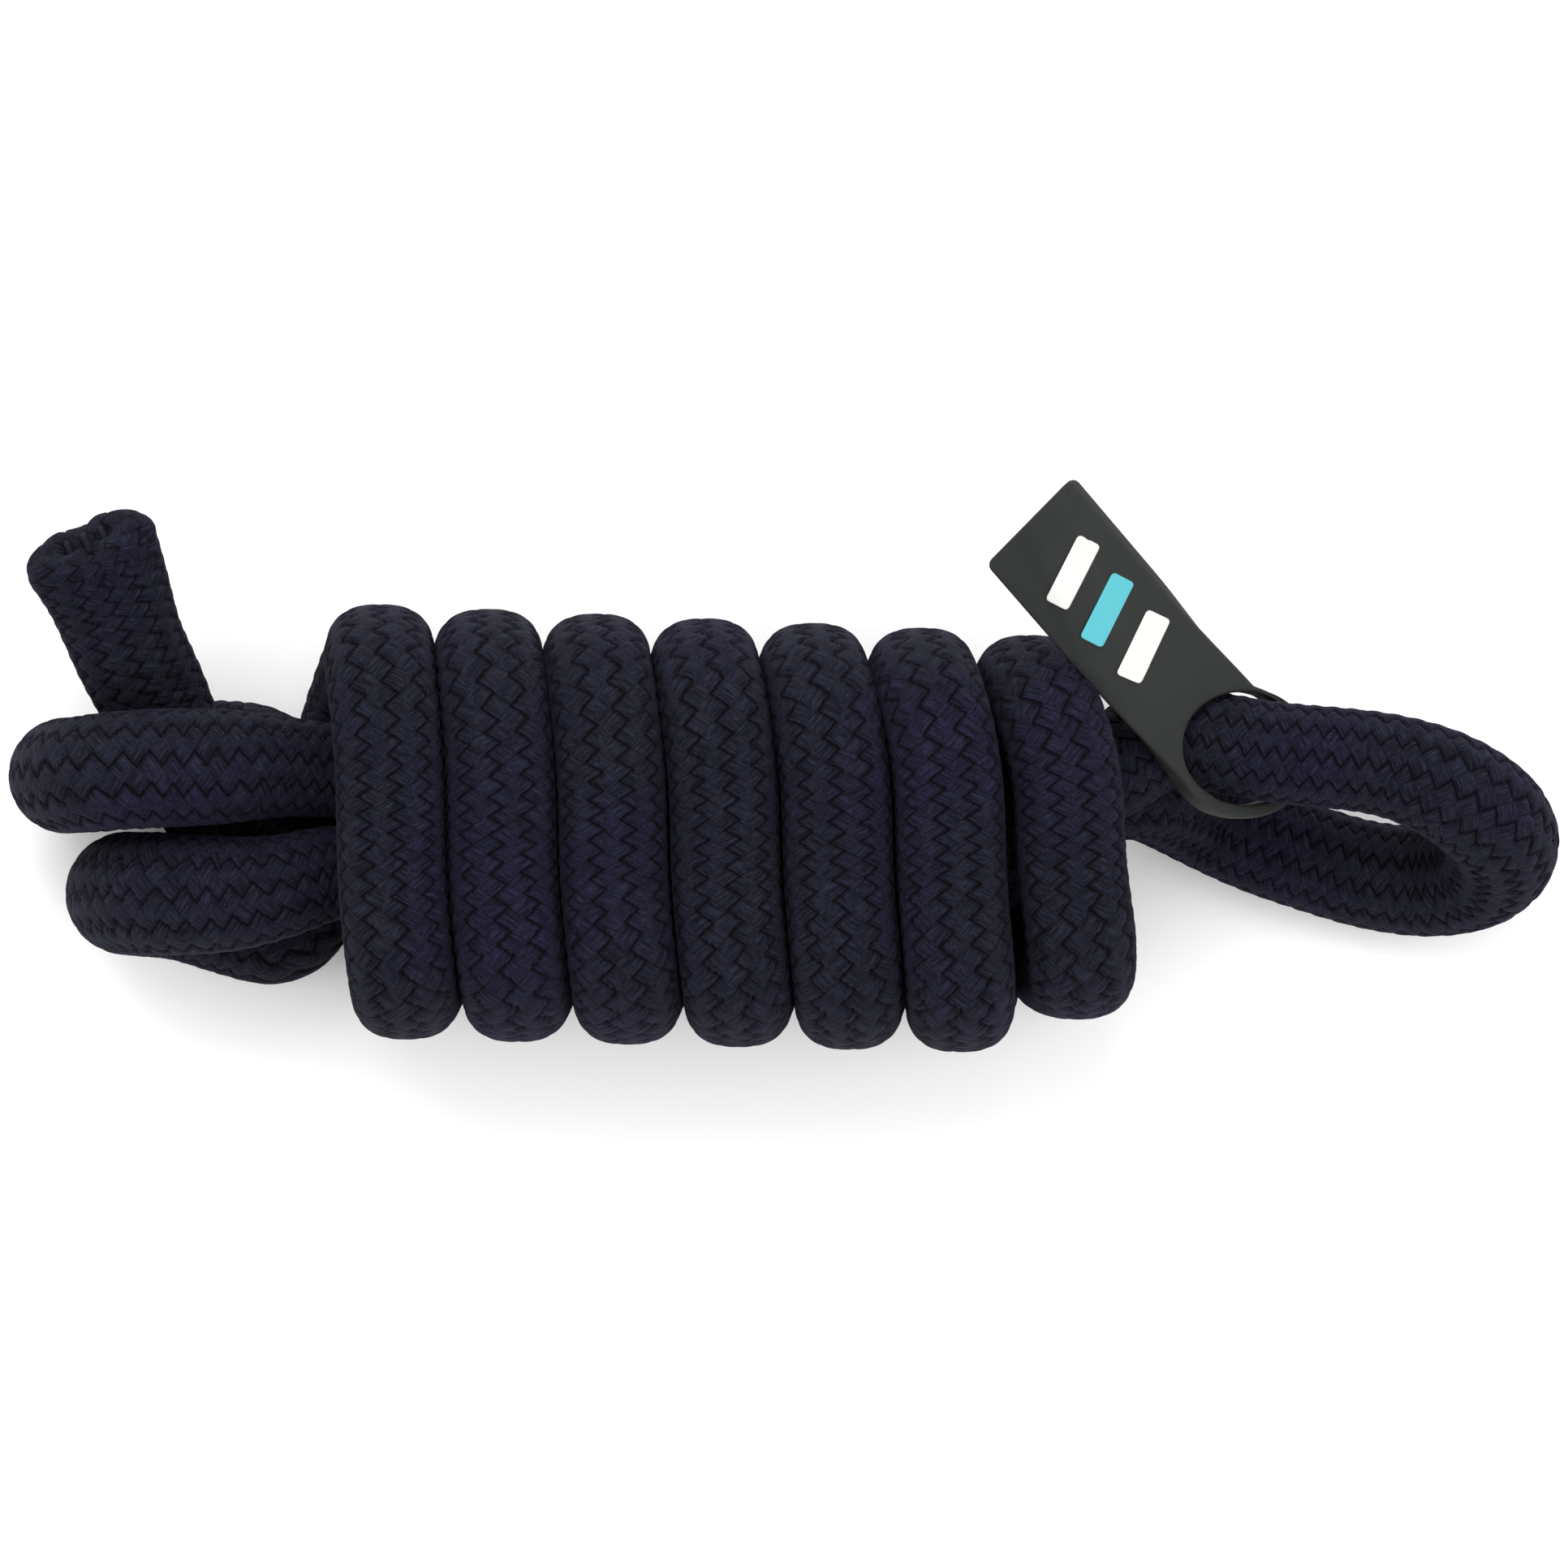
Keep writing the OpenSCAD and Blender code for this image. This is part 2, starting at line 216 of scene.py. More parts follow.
# --- Rings of the rope ------------------------------------------------------------------------
STRANDS = 11  # each way round; a strand goes over one and under one
STRAND_PITCH = 2.6
SIDES = 110
STEP = STRAND_PITCH / 6
HIDDEN_STEP = 3.0
HIDDEN_FROM, HIDDEN_TO = -50, 26
FLAT_OVER = 16
FLAT_WIDER, FLAT_THINNER = 0.20, 0.26
SINK = 0.30
STRAND_RISE = 0.36
STRAND_DIP = 0.46
STRAND_EDGE = 0.08

total = length_of(rough)
arc = np.concatenate([[0], np.cumsum(np.linalg.norm(np.diff(rough[:, :3], axis=0), axis=1))])
turns_from = arc[runs_end]


def hidden(s):
    """Where the rope lies deep inside the turns: x within them, and on a run, not a turn."""
    x = np.interp(s, arc, rough[:, 0])
    return (s < turns_from) & (x > HIDDEN_FROM) & (x < HIDDEN_TO)


stations, s = [0.0], 0.0
while s < total - 0.6:
    s += HIDDEN_STEP if hidden(s) and hidden(s + HIDDEN_STEP) else STEP
    stations.append(min(s, total))
stations = np.array(stations)
line = resample(rough, stations)
centre, diam = line[:, :3], line[:, 3]

along = np.gradient(centre, axis=0)
along /= np.linalg.norm(along, axis=1)[:, None]

# The braid's own frame is carried along without twist
first = np.cross(along[0], [0.0, 0.0, 1.0])
carried = np.zeros_like(centre)
carried[0] = first / np.linalg.norm(first)
for i in range(1, len(centre)):
    v = carried[i - 1] - along[i] * float(carried[i - 1] @ along[i])
    carried[i] = v / np.linalg.norm(v)
other = np.cross(along, carried)

# The squeezed section's wide axis: along the hank on a turn, flat across on the free end.
# in_turn goes from 0 on the runs to 1 on the turns.
in_turn = np.clip((stations - turns_from + 6) / 14, 0, 1)
ref = np.where((stations > turns_from - 30)[:, None], [1.0, 0.0, 0.0], first)
wide = ref - along * np.einsum("ij,ij->i", ref, along)[:, None]
wide /= np.linalg.norm(wide, axis=1)[:, None]
wide_at = np.arctan2(
    np.einsum("ij,ij->i", wide, other), np.einsum("ij,ij->i", wide, carried)
)

# The free end is a little flattened, most at its very end
to_end = np.clip(1 - stations / FLAT_OVER, 0, 1) ** 1.5
half_a = diam / 2 * (1 + FLAT_WIDER * to_end)
half_b = diam / 2 * (1 - FLAT_THINNER * to_end)
half_a = half_a * (1 - in_turn) + TURN_W / 2 * in_turn
half_b = half_b * (1 - in_turn) + TURN_T / 2 * in_turn
square = 2.0 + 0.6 * in_turn

phi = np.linspace(0, 2 * math.pi, SIDES, endpoint=False)
psi = phi[None, :] - wide_at[:, None]
radius = (
    np.abs(np.cos(psi) / half_a[:, None]) ** square[:, None]
    + np.abs(np.sin(psi) / half_b[:, None]) ** square[:, None]
) ** (-1 / square[:, None])


def braid_place(v):
    """Each vertex's place on the braid, a little uneven as a worked braid is."""
    a, v = phi[None, :], v[:, None]
    du = 0.03 * np.sin(0.9 * v + 2 * np.sin(a)) + 0.02 * np.sin(2.3 * v + 3 * np.cos(a))
    dv = 0.05 * np.sin(1.3 * v + 2.5 * np.cos(a)) + 0.02 * np.sin(3.1 * v + 1.7 * np.sin(2 * a))
    return STRANDS * a / (2 * math.pi) + du, v + dv


def float_height(u, v):
    """How far the strand on top stands out, in mm; it comes up from under the one before it."""
    p, q = v + u, v - u
    right = (np.floor(p) - np.floor(q)) % 2 < 0.5
    run = np.where(right, q % 1, p % 1)
    own = np.abs(2 * np.where(right, p % 1, q % 1) - 1)
    crown = STRAND_RISE * np.sin(np.pi * (0.12 + 0.62 * run))
    return crown - STRAND_DIP * (1 - run) ** 7 - STRAND_EDGE * own**3


# How deep a turn's side lies between its neighbours, 0 to 1; this sets the painted shade in the
# grooves between turns
painted_groove_shade = in_turn[:, None] * np.clip((np.abs(np.cos(psi)) - 0.70) / 0.30, 0, 1) ** 2

u, v = braid_place(stations / STRAND_PITCH)
radius = radius - SINK + float_height(u, v)
direction = (
    np.cos(phi)[None, :, None] * carried[:, None, :]
    + np.sin(phi)[None, :, None] * other[:, None, :]
)
rings = centre[:, None, :] + radius[:, :, None] * direction


def closed_end(ring, mid, out, wide_dir, lip):
    """Rings that tuck the sleeve in at its end: it rounds over a lip and closes on a slit."""
    thin_dir = np.cross(out, wide_dir)
    rel = ring - mid
    a, b = rel @ wide_dir, rel @ thin_dir
    wide_half, thin_half = np.abs(a).max(), np.abs(b).max()
    # the lip is lower in the middle, and the closed end dents in on both sides of it
    middle = np.exp(-((a / 2.2) ** 2))
    dents = np.exp(-(((np.abs(a) - 0.5 * wide_half) / 2.1) ** 2))
    made = []
    for turn in np.linspace(0, math.radians(96), 8)[1:]:
        in_by = lip * (1 - math.cos(turn))
        made.append((a * (1 - in_by / wide_half), b * (1 - in_by / thin_half),
                     lip * math.sin(turn) * (1 - 0.5 * middle)))
    a0, b0, up0 = made[-1]
    for f in np.linspace(0, 1, 8)[1:]:
        made.append((a0 * (1 - 0.2 * f), b0 * (1 - 0.97 * f), up0 - (0.2 + 1.9 * dents) * f**2))
    return [
        mid + np.outer(x, wide_dir) + np.outer(y, thin_dir) + np.outer(z, out) for x, y, z in made
    ]


LIP = 2.8
head = closed_end(rings[0], centre[0], -along[0], wide[0], LIP)
tail = closed_end(rings[-1], centre[-1], along[-1], wide[-1], LIP)
all_rings = np.array(head[::-1] + list(rings) + tail)
CAP = len(head)
painted_groove_shade = np.vstack([np.zeros((CAP, SIDES)), painted_groove_shade, np.zeros((CAP, SIDES))])


def past(end):
    """How far along the sleeve's own surface each ring of an end lies, in mm."""
    gaps = [np.linalg.norm(q - p, axis=1).mean() for p, q in zip(end, end[1:])]
    return 0.8 + np.concatenate([[0.0], np.cumsum(gaps)])


all_v = np.concatenate(
    [stations[0] - past(head)[::-1], stations, stations[-1] + past(tail)]
) / STRAND_PITCH


def mesh_from(name, verts, faces, smooth=True):
    mesh = bpy.data.meshes.new(name)
    mesh.from_pydata([tuple(p) for p in verts], [], faces)
    mesh.validate()
    mesh.polygons.foreach_set("use_smooth", [smooth] * len(mesh.polygons))
    mesh.update()
    obj = bpy.data.objects.new(name, mesh)
    bpy.context.scene.collection.objects.link(obj)
    return obj


def rope_mesh():
    """The rope as one mesh, with its place on the braid and the painted shade of the grooves
    between turns as UV layers.
    """
    n = len(all_rings)
    mesh = bpy.data.meshes.new("rope_braid")
    verts = (all_rings.reshape(-1, 3) * MM).astype(np.float32)
    r, c = np.meshgrid(np.arange(n - 1), np.arange(SIDES), indexing="ij")
    r, c = r.ravel(), c.ravel()
    d = (c + 1) % SIDES
    quads = np.stack([r * SIDES + c, r * SIDES + d, (r + 1) * SIDES + d, (r + 1) * SIDES + c], 1)
    u, v = braid_place(all_v)
    u, v = np.column_stack([u, u[:, 0] + STRANDS]), np.column_stack([v, v[:, 0]])
    around = np.stack([u[r, c], u[r, c + 1], u[r + 1, c + 1], u[r + 1, c]], 1)
    down = np.stack([v[r, c], v[r, c + 1], v[r + 1, c + 1], v[r + 1, c]], 1)
    ends = [list(range(SIDES - 1, -1, -1)), list(range((n - 1) * SIDES, n * SIDES))]
    loops = np.concatenate([quads.ravel(), np.array(ends).ravel()])
    mesh.vertices.add(len(verts))
    mesh.vertices.foreach_set("co", verts.ravel())
    mesh.loops.add(len(loops))
    mesh.loops.foreach_set("vertex_index", loops)
    starts = np.concatenate([np.arange(len(quads)) * 4, len(quads) * 4 + np.array([0, SIDES])])
    mesh.polygons.add(len(starts))
    mesh.polygons.foreach_set("loop_start", starts)
    mesh.polygons.foreach_set("use_smooth", np.ones(len(starts), bool))
    mesh.update(calc_edges=True)
    mesh.uv_layers.new(name="braid")
    mesh.uv_layers.new(name="side")
    cap_uv = np.zeros((2 * SIDES, 2))
    cap_uv[:, 0] = np.tile(np.arange(SIDES) * STRANDS / SIDES, 2)
    pairs = np.concatenate([np.stack([around.ravel(), down.ravel()], 1), cap_uv])
    uv = mesh.uv_layers["braid"]
    uv.data.foreach_set("uv", pairs.astype(np.float32).ravel())
    at_ring, at_side = np.stack([r, r, r + 1, r + 1], 1), np.stack([c, d, d, c], 1)
    # the painted shade of the grooves between turns goes into the side UV layer
    depth = np.concatenate([painted_groove_shade[at_ring, at_side].ravel(), np.zeros(2 * SIDES)])
    side = mesh.uv_layers["side"]
    side.data.foreach_set("uv", np.column_stack([depth, depth]).astype(np.float32).ravel())
    mesh.validate()
    obj = bpy.data.objects.new("rope_braid", mesh)
    bpy.context.scene.collection.objects.link(obj)
    return obj


rope = rope_mesh()

# --- Materials --------------------------------------------------------------------------------


class Net:
    """A material's node tree, with short ways to add the nodes used here."""

    def __init__(self, name, color, roughness):
        self.mat = bpy.data.materials.new(name)
        self.mat.use_nodes = True
        self.tree = self.mat.node_tree
        self.shader = next(n for n in self.tree.nodes if n.type == "BSDF_PRINCIPLED")
        self.shader.inputs["Base Color"].default_value = (*color, 1)
        self.shader.inputs["Roughness"].default_value = roughness

    def put(self, kind, **props):
        node = self.tree.nodes.new(kind)
        for key, value in props.items():
            setattr(node, key, value)
        return node

    def link(self, out, into):
        if hasattr(out, "is_output"):
            self.tree.links.new(out, into)
        else:
            into.default_value = out

    def math(self, op, *args):
        node = self.put("ShaderNodeMath", operation=op)
        for k, a in enumerate(args):
            self.link(a, node.inputs[k])
        return node.outputs[0]

    def mix(self, factor, a, b):
        node = self.put("ShaderNodeMix", data_type="RGBA")
        self.link(factor, node.inputs[0])
        self.link(a if hasattr(a, "is_output") else (*a, 1), node.inputs[6])
        self.link(b if hasattr(b, "is_output") else (*b, 1), node.inputs[7])
        return node.outputs[2]

    def noise(self, where, scale, detail=3.0):
        node = self.put("ShaderNodeTexNoise")
        self.link(where, node.inputs["Vector"])
        node.inputs["Scale"].default_value = scale
        node.inputs["Detail"].default_value = detail
        return node.outputs[0]

    def contrast(self, value, low, high):
        node = self.put("ShaderNodeMapRange")
        self.link(value, node.inputs[0])
        node.inputs[1].default_value = low
        node.inputs[2].default_value = high
        return node.outputs[0]

    def place(self, x, y, z=0.0):
        node = self.put("ShaderNodeCombineXYZ")
        for k, a in enumerate((x, y, z)):
            self.link(a, node.inputs[k])
        return node.outputs[0]

    def bump(self, height, strength, distance):
        node = self.put("ShaderNodeBump")
        node.inputs["Strength"].default_value = strength
        node.inputs["Distance"].default_value = distance
        self.link(height, node.inputs["Height"])
        self.link(node.outputs[0], self.shader.inputs["Normal"])

    def object_place(self):
        return self.put("ShaderNodeTexCoord").outputs["Object"]


# Linear colours: a thread's dark and light side in two tints, what darkens them at random, and
# painted shade for the grooves between turns and the gaps between strands
NAVY_LOW, NAVY_HIGH = (0.0030, 0.0034, 0.0050), (0.0188, 0.0202, 0.0325)
VIOLET_LOW, VIOLET_HIGH = (0.0036, 0.0034, 0.0080), (0.0185, 0.0172, 0.0430)
DULL, FLUFF_DARK = (0.0020, 0.0020, 0.0040), (0.0020, 0.0020, 0.0035)
PAINTED_GROOVE_SHADE, PAINTED_GAP_SHADE = (0.0014, 0.0014, 0.0018), (0.0006, 0.0006, 0.0009)
FINE_SCALE = 2200.0


def braid_material():
    """Yarn strands over one and under one, drawn from each point's place on the braid."""
    m = Net("braid", (0.015, 0.015, 0.045), 0.85)
    uv = m.put("ShaderNodeUVMap", uv_map="braid")
    apart = m.put("ShaderNodeSeparateXYZ")
    m.link(uv.outputs[0], apart.inputs[0])
    u, v = apart.outputs[0], apart.outputs[1]
    p, q = m.math("ADD", v, u), m.math("SUBTRACT", v, u)
    i, j = m.math("FLOOR", p), m.math("FLOOR", q)
    right = m.math("LESS_THAN", m.math("FLOORED_MODULO", m.math("SUBTRACT", i, j), 2.0), 0.5)
    left = m.math("SUBTRACT", 1.0, right)

    def choose(a, b):
        return m.math("ADD", m.math("MULTIPLY", right, a), m.math("MULTIPLY", left, b))

    # own: across the strand that is on top; run: along it, from where it comes up; both 0 to 1
    own = choose(m.math("FRACT", p), m.math("FRACT", q))
    run = choose(m.math("FRACT", q), m.math("FRACT", p))
    edge = m.math("ABSOLUTE", m.math("SUBTRACT", m.math("MULTIPLY", own, 2.0), 1.0))
    gap = m.math("POWER", edge, 14.0)
    end = m.math("POWER", m.math("SUBTRACT", 1.0, run), 9.0)
    # each strand is a bundle of filaments that run along it
    cell = m.math("ADD", i, m.math("MULTIPLY", j, 3.7))
    along_it = m.place(m.math("MULTIPLY", own, 8.0), m.math("MULTIPLY", run, 0.9), cell)
    thread = m.contrast(m.noise(along_it, 1.3, 5.0), 0.34, 0.66)
    fluff = m.noise(m.object_place(), FINE_SCALE, 3.0)
    each = m.put("ShaderNodeTexWhiteNoise", noise_dimensions="2D")
    m.link(m.place(i, j), each.inputs["Vector"])
    shade = m.contrast(m.noise(m.object_place(), 45.0, 2.0), 0.35, 0.65)
    navy = m.mix(thread, NAVY_LOW, NAVY_HIGH)
    tone = m.mix(shade, navy, m.mix(thread, VIOLET_LOW, VIOLET_HIGH))
    tone = m.mix(m.math("MULTIPLY", each.outputs[0], 0.16), tone, DULL)
    tone = m.mix(m.contrast(fluff, 0.30, 1.00), tone, FLUFF_DARK)
    # painted shade: a turn's sides darken where they lie between its neighbouring turns
    groove_shade_at = m.put("ShaderNodeSeparateXYZ")
    m.link(m.put("ShaderNodeUVMap", uv_map="side").outputs[0], groove_shade_at.inputs[0])
    tone = m.mix(m.math("MULTIPLY", groove_shade_at.outputs[0], 0.85), tone, PAINTED_GROOVE_SHADE)
    # painted shade where each strand comes up from under the one before it and along the gaps
    # between strands; the same mask also sinks the bump
    painted_start_shade = m.math("MINIMUM", m.math("MULTIPLY", end, 1.5), 1.0)
    gap_shade_and_depth = m.math("MAXIMUM", m.math("MULTIPLY", gap, 0.30), painted_start_shade)
    m.link(m.mix(gap_shade_and_depth, tone, PAINTED_GAP_SHADE), m.shader.inputs["Base Color"])
    m.shader.inputs["Sheen Weight"].default_value = 0.03
    m.shader.inputs["Sheen Roughness"].default_value = 0.45
    m.shader.inputs["Sheen Tint"].default_value = (0.5, 0.5, 0.8, 1)
    m.shader.inputs["Specular IOR Level"].default_value = 0.06
    high = m.math("SUBTRACT", m.math("MULTIPLY", thread, 0.6), m.math("MULTIPLY", gap_shade_and_depth, 0.7))
    m.bump(m.math("ADD", high, m.math("MULTIPLY", fluff, 0.3)), 0.7, 0.00030)
    return m.mat


def grain_material(name, low, high, roughness, depth):
    """A matt surface with a fine grain, whose colour drifts between low and high."""
    m = Net(name, low, roughness)
    fine = m.noise(m.object_place(), FINE_SCALE, 3.0)
    broad = m.noise(m.object_place(), 160.0, 2.0)
    m.link(m.mix(broad, low, high), m.shader.inputs["Base Color"])
    m.shader.inputs["Specular IOR Level"].default_value = 0.10
    m.bump(fine, 0.35, depth)
    return m.mat


BRAID = braid_material()
SOFT_GRAIN, SMOOTH_GRAIN = 0.00006, 0.00002
THREAD = grain_material("thread", (0.004, 0.004, 0.009), (0.009, 0.009, 0.018), 0.85, SOFT_GRAIN)
TAG = grain_material(
    "tag_soft_plastic", (0.0165, 0.0182, 0.0175), (0.0220, 0.0242, 0.0230), 0.62, SOFT_GRAIN
)
WHITE = grain_material("white_inlay", (0.56, 0.56, 0.54), (0.62, 0.62, 0.60), 0.5, SMOOTH_GRAIN)
TURQUOISE = grain_material(
    "turquoise_inlay", (0.075, 0.36, 0.41), (0.085, 0.39, 0.44), 0.5, SMOOTH_GRAIN
)

rope.data.materials.append(BRAID)
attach(rope, "rope")
sleeves = [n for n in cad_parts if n.startswith("sleeve_")]
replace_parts(rope, *sleeves, "core_runs", "core_turns", "free_end_tuck", "tail_end_tuck")

# --- Tag: a soft bent sheet, its ring leaning across the rope -----------------------------------
TAG_TURN = math.radians(133)
TAG_U = np.array([math.cos(TAG_TURN), math.sin(TAG_TURN)])
TAG_V = np.array([-math.sin(TAG_TURN), math.cos(TAG_TURN)])
GUIDE_FROM, GUIDE_TO = np.array([52.0, 4.0, 31.0]), np.array([84.0, 0.0, 31.0])
GUIDE = (GUIDE_TO - GUIDE_FROM) / np.linalg.norm(GUIDE_TO - GUIDE_FROM)
RING_ALONG = 11
RING = GUIDE_FROM + RING_ALONG * GUIDE
TAG_T = 3.2
HOLE, RIM = 7.95, 9.85
HOLE_LONGER = 1.1
# The ring is thinner on its hidden side, towards this direction
THIN_SIDE = math.radians(55)
RIM_THINNER, HOLE_THINNER = 1.5, 0.4
PLATE_Z, PLATE_Y = 41.6, 2
PLATE_SLOPE = math.tan(math.radians(24))
BEND = 5.0
SIDE_LEAN = 0.34
LEAN_FROM, LEAN_OVER = 2, 24
LEFT_SIDE, RIGHT_SIDE = 9.5, -7.7
FAR_LEFT, FAR_RIGHT = [27.9, 28.1], [39.4, 39.8]


def tag_mid(x, y):
    """Height of the middle of the sheet: the lower of the ring's and the plate's planes, eased."""
    a = RING[2] - (x - RING[0])
    b = PLATE_Z + PLATE_SLOPE * (y + PLATE_Y)
    h = np.clip(0.5 + 0.5 * (b - a) / BEND, 0, 1)
    return b + (a - b) * h - BEND * h * (1 - h) * 0.5


def tag_normal(x, y):
    """The sheet's own upward direction, from its slope over a small distance e."""
    e = 0.05
    n = np.stack([-(tag_mid(x + e, y) - tag_mid(x - e, y)) / (2 * e),
                  -(tag_mid(x, y + e) - tag_mid(x, y - e)) / (2 * e), np.ones_like(x)], -1)
    return n / np.linalg.norm(n, axis=-1)[..., None]


def on_sheet(flat, lift):
    """Points of the plan, lifted to the sheet's middle and then by lift through its thickness."""
    x, y = flat[:, 0], flat[:, 1]
    up = tag_normal(x, y)
    # beyond the ring the sides lean over a little, so that the right one shows from above
    plate = np.clip(((flat - RING[:2]) @ TAG_U - LEAN_FROM) / LEAN_OVER, 0, 1)[:, None]
    plate = plate**2 * (3 - 2 * plate)
    up = np.column_stack([up[:, :2] * (1 - plate) + SIDE_LEAN * TAG_V * plate, up[:, 2]])
    up[:, 2] += plate[:, 0] * PLATE_SLOPE * SIDE_LEAN * TAG_V[1]
    return np.column_stack([x, y, tag_mid(x, y)]) + up * np.reshape(lift, (-1, 1))


def round_corners(corners, radii):
    """A loop with its corners rounded."""
    out, n = [], len(corners)
    for k in range(n):
        c, a, b = (np.array(corners[(k + d) % n], float) for d in (0, -1, 1))
        da, db = (a - c) / np.linalg.norm(a - c), (b - c) / np.linalg.norm(b - c)
        half = math.acos(np.clip(da @ db, -1, 1)) / 2
        back = radii[k] / math.tan(half)
        mid = c + (da + db) / np.linalg.norm(da + db) * radii[k] / math.sin(half)
        t0, t1 = c + da * back - mid, c + db * back - mid
        a0, a1 = math.atan2(t0[1], t0[0]), math.atan2(t1[1], t1[0])
        sweep = (a1 - a0 + math.pi) % (2 * math.pi) - math.pi
        out += [mid + radii[k] * np.array([math.cos(a0 + sweep * f), math.sin(a0 + sweep * f)])
                for f in np.linspace(0, 1, 9)]
    return np.array(out)


def evened(loop, step):
    """The closed loop with its points at an even step."""
    p = np.vstack([loop, loop[:1]])
    s = np.concatenate([[0], np.cumsum(np.linalg.norm(np.diff(p, axis=0), axis=1))])
    at = np.linspace(0, s[-1], max(12, int(s[-1] / step)), endpoint=False)
    return np.stack([np.interp(at, s, p[:, c]) for c in (0, 1)], 1)


def inward(loop, by):
    """The loop moved to its left, which is inward on a loop that runs anticlockwise."""
    t = np.roll(loop, -1, 0) - np.roll(loop, 1, 0)
    t /= np.linalg.norm(t, axis=1)[:, None]
    return loop + by * np.stack([-t[:, 1], t[:, 0]], 1)


def inside(points, loop):
    """Which points lie inside the loop."""
    x, y = points[:, 0][:, None], points[:, 1][:, None]
    a, b = loop, np.roll(loop, -1, 0)
    cross = (a[:, 1] > y) != (b[:, 1] > y)
    with np.errstate(divide="ignore", invalid="ignore"):
        at = a[:, 0] + (y - a[:, 1]) * (b[:, 0] - a[:, 0]) / (b[:, 1] - a[:, 1])
    return (cross & (x < at)).sum(1) % 2 == 1


def sheet_solid(name, loops, low, high, edge, step):
    """A solid between two heights over the sheet's middle, with its edges rounded.
    The first loop is the outline, anticlockwise, and the others are holes, clockwise."""
    quarter = np.linspace(0, math.pi / 2, 5)
    verts, faces = [], []

    def add(points):
        base = len(verts)
        verts.extend(points)
        return base

    def bridge(a, b, n):
        for k in range(n):
            d = (k + 1) % n
            faces.append((a + k, a + d, b + d, b + k))

    inner, top_base, low_base = [], [], []
    for loop in loops:
        n = len(loop)
        bands = []
        for t in quarter[::-1]:
            bands.append((edge * (1 - math.cos(t)), low + edge * (1 - math.sin(t))))
        for t in quarter:
            bands.append((edge * (1 - math.cos(t)), high - edge * (1 - math.sin(t))))
        starts = [add(on_sheet(inward(loop, by), lift)) for by, lift in bands]
        for a, b in zip(starts, starts[1:]):
            bridge(a, b, n)
        inner.append(inward(loop, edge))
        low_base.append(starts[0])
        top_base.append(starts[-1])
    box0, box1 = inner[0].min(0), inner[0].max(0)
    gx, gy = np.meshgrid(np.arange(box0[0], box1[0], step), np.arange(box0[1], box1[1], step))
    grid = np.column_stack([gx.ravel(), gy.ravel()])
    keep = inside(grid, inward(inner[0], step * 0.4))
    for hole in inner[1:]:
        keep &= ~inside(grid, inward(hole, step * 0.4))
    grid = grid[keep]
    flat = np.vstack(inner + [grid])
    edges, at = [], 0
    for loop in inner:
        n = len(loop)
        edges += [(at + k, at + (k + 1) % n) for k in range(n)]
        at += n
    made = delaunay_2d_cdt([Vector(p) for p in flat], edges, [], 0, 1e-6)
    out_flat = np.array([tuple(p) for p in made[0]])
    mids = np.array([out_flat[list(f)].mean(0) for f in made[2]])
    good = inside(mids, inner[0])
    for hole in inner[1:]:
        good &= ~inside(mids, hole)
    n_loop = sum(len(l) for l in inner)
    # each of the flat points is a loop's own vertex, or a new one on that side
    for side, bases in ((high, top_base), (low, low_base)):
        index, at = {}, 0
        for loop, base in zip(inner, bases):
            for k in range(len(loop)):
                index[at + k] = base + k
            at += len(loop)
        lifted = on_sheet(out_flat, side)
        names = []
        for k, orig in enumerate(made[3]):
            first = [o for o in orig if o < n_loop]
            if first:
                names.append(index[first[0]])
            else:
                names.append(len(verts))
                verts.append(lifted[k])
        for f, ok in zip(made[2], good):
            if ok:
                g = [names[a] for a in f]
                faces.append(tuple(g if side == high else g[::-1]))
    return mesh_from(name, np.array(verts) * MM, faces)


def on_tag(a, b):
    """A point of the plan, a mm out from the ring's middle along the tag and b mm across it."""
    return RING[:2] + a * TAG_U + b * TAG_V


turn_of = np.linspace(0, 2 * math.pi, 97)[:-1]
circle = np.column_stack([np.cos(turn_of), np.sin(turn_of)])


def tag_outline():
    """The plate and the ring as one loop: the sides run down to the ring and round it."""
    on_left, on_right = math.sqrt(RIM**2 - LEFT_SIDE**2), math.sqrt(RIM**2 - RIGHT_SIDE**2)
    start = math.atan2(LEFT_SIDE, on_left) + TAG_TURN
    stop = math.atan2(RIGHT_SIDE, on_right) + TAG_TURN + 2 * math.pi
    rim = []
    for a in np.linspace(start, stop, 70):
        thin = RIM_THINNER * max(0.0, math.cos(a - THIN_SIDE)) ** 2
        rim.append(RING[:2] + (RIM - thin) * np.array([math.cos(a), math.sin(a)]))
    corners = [on_tag(on_left, LEFT_SIDE), FAR_LEFT, FAR_RIGHT, on_tag(on_right, RIGHT_SIDE)]
    # only the two far corners' points are kept, nine to a corner
    far = round_corners(corners, [0.1, 1.1, 1.1, 0.1])[9:27]
    return np.array(list(far[::-1]) + rim)


outline = evened(tag_outline(), 0.5)
following = np.roll(outline, -1, 0)
area = 0.5 * np.sum(outline[:, 0] * following[:, 1] - outline[:, 1] * following[:, 0])
if area < 0:
    outline = outline[::-1]
towards_thin = circle @ [math.cos(THIN_SIDE), math.sin(THIN_SIDE)]
narrow = HOLE_THINNER * np.clip(towards_thin, 0, 1) ** 2
hole = (RING[:2] + (HOLE - narrow)[:, None] * circle * [HOLE_LONGER, 1.0])[::-1]
tag = sheet_solid("tag_plate", [outline, hole], -TAG_T / 2, TAG_T / 2, 0.6, 0.8)
tag.data.materials.append(TAG)
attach(tag, "tag")
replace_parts(tag, "tag_body")


BAR_HALF_W, BAR_HALF_L = 1.7, 5
BAR_SLANT = math.radians(20)
BAR_SUNK, BAR_PROUD = 0.3, 0.5


